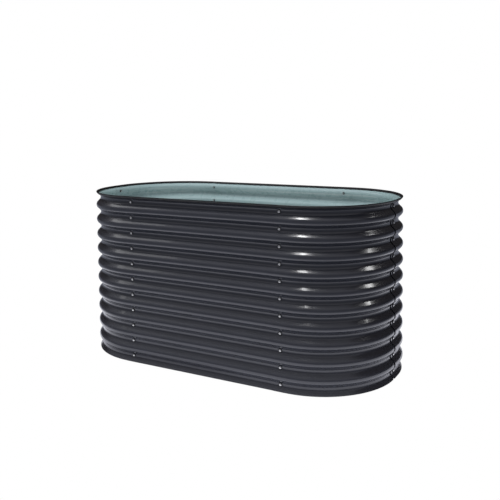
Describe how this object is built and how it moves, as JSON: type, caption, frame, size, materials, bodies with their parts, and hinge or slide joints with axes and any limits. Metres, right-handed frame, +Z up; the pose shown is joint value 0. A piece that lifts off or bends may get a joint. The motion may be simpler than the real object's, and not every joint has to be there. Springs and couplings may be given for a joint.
{
  "type": "raised garden bed",
  "caption": "Tall bottomless garden bed with a stadium plan: corrugated steel panels lapped and bolted at upright seams, with a rubber-edged rim.",
  "frame": {"origin": "on the ground, under the middle of the bed", "axes": "+X along the bed's length, +Y across it, +Z up"},
  "size_m": [1.6066, 0.809, 0.813],
  "materials": {
    "panel_steel": "gloss charcoal coat outside, pale grey-green coat inside",
    "edge_rubber": "matte black",
    "bolt_steel": "bright zinc plate",
    "washer_rubber": "matte black",
    "washer_steel": "zinc plate",
    "nut_steel": "zinc plate"
  },
  "bodies": {
    "root": {"corner_panel_back_right": "panel_steel", "corner_panel_front_left": "panel_steel", "corner_panel_back_left": "panel_steel", "corner_panel_front_right": "panel_steel", "side_panel_back": "panel_steel", "side_panel_front": "panel_steel", "corner_edge_trim_back_right": "edge_rubber", "corner_edge_trim_front_left": "edge_rubber", "corner_edge_trim_back_left": "edge_rubber", "corner_edge_trim_front_right": "edge_rubber", "side_edge_trim_back": "edge_rubber", "side_edge_trim_front": "edge_rubber", "bolts_back_right": "bolt_steel", "rubber_washers_back_right": "washer_rubber", "steel_washers_back_right": "washer_steel", "nuts_back_right": "nut_steel", "bolts_back_left": "bolt_steel", "rubber_washers_back_left": "washer_rubber", "steel_washers_back_left": "washer_steel", "nuts_back_left": "nut_steel", "bolts_left_end": "bolt_steel", "rubber_washers_left_end": "washer_rubber", "steel_washers_left_end": "washer_steel", "nuts_left_end": "nut_steel", "bolts_front_left": "bolt_steel", "rubber_washers_front_left": "washer_rubber", "steel_washers_front_left": "washer_steel", "nuts_front_left": "nut_steel", "bolts_front_right": "bolt_steel", "rubber_washers_front_right": "washer_rubber", "steel_washers_front_right": "washer_steel", "nuts_front_right": "nut_steel", "bolts_right_end": "bolt_steel", "rubber_washers_right_end": "washer_rubber", "steel_washers_right_end": "washer_steel", "nuts_right_end": "nut_steel"}
  },
  "joints": []
}
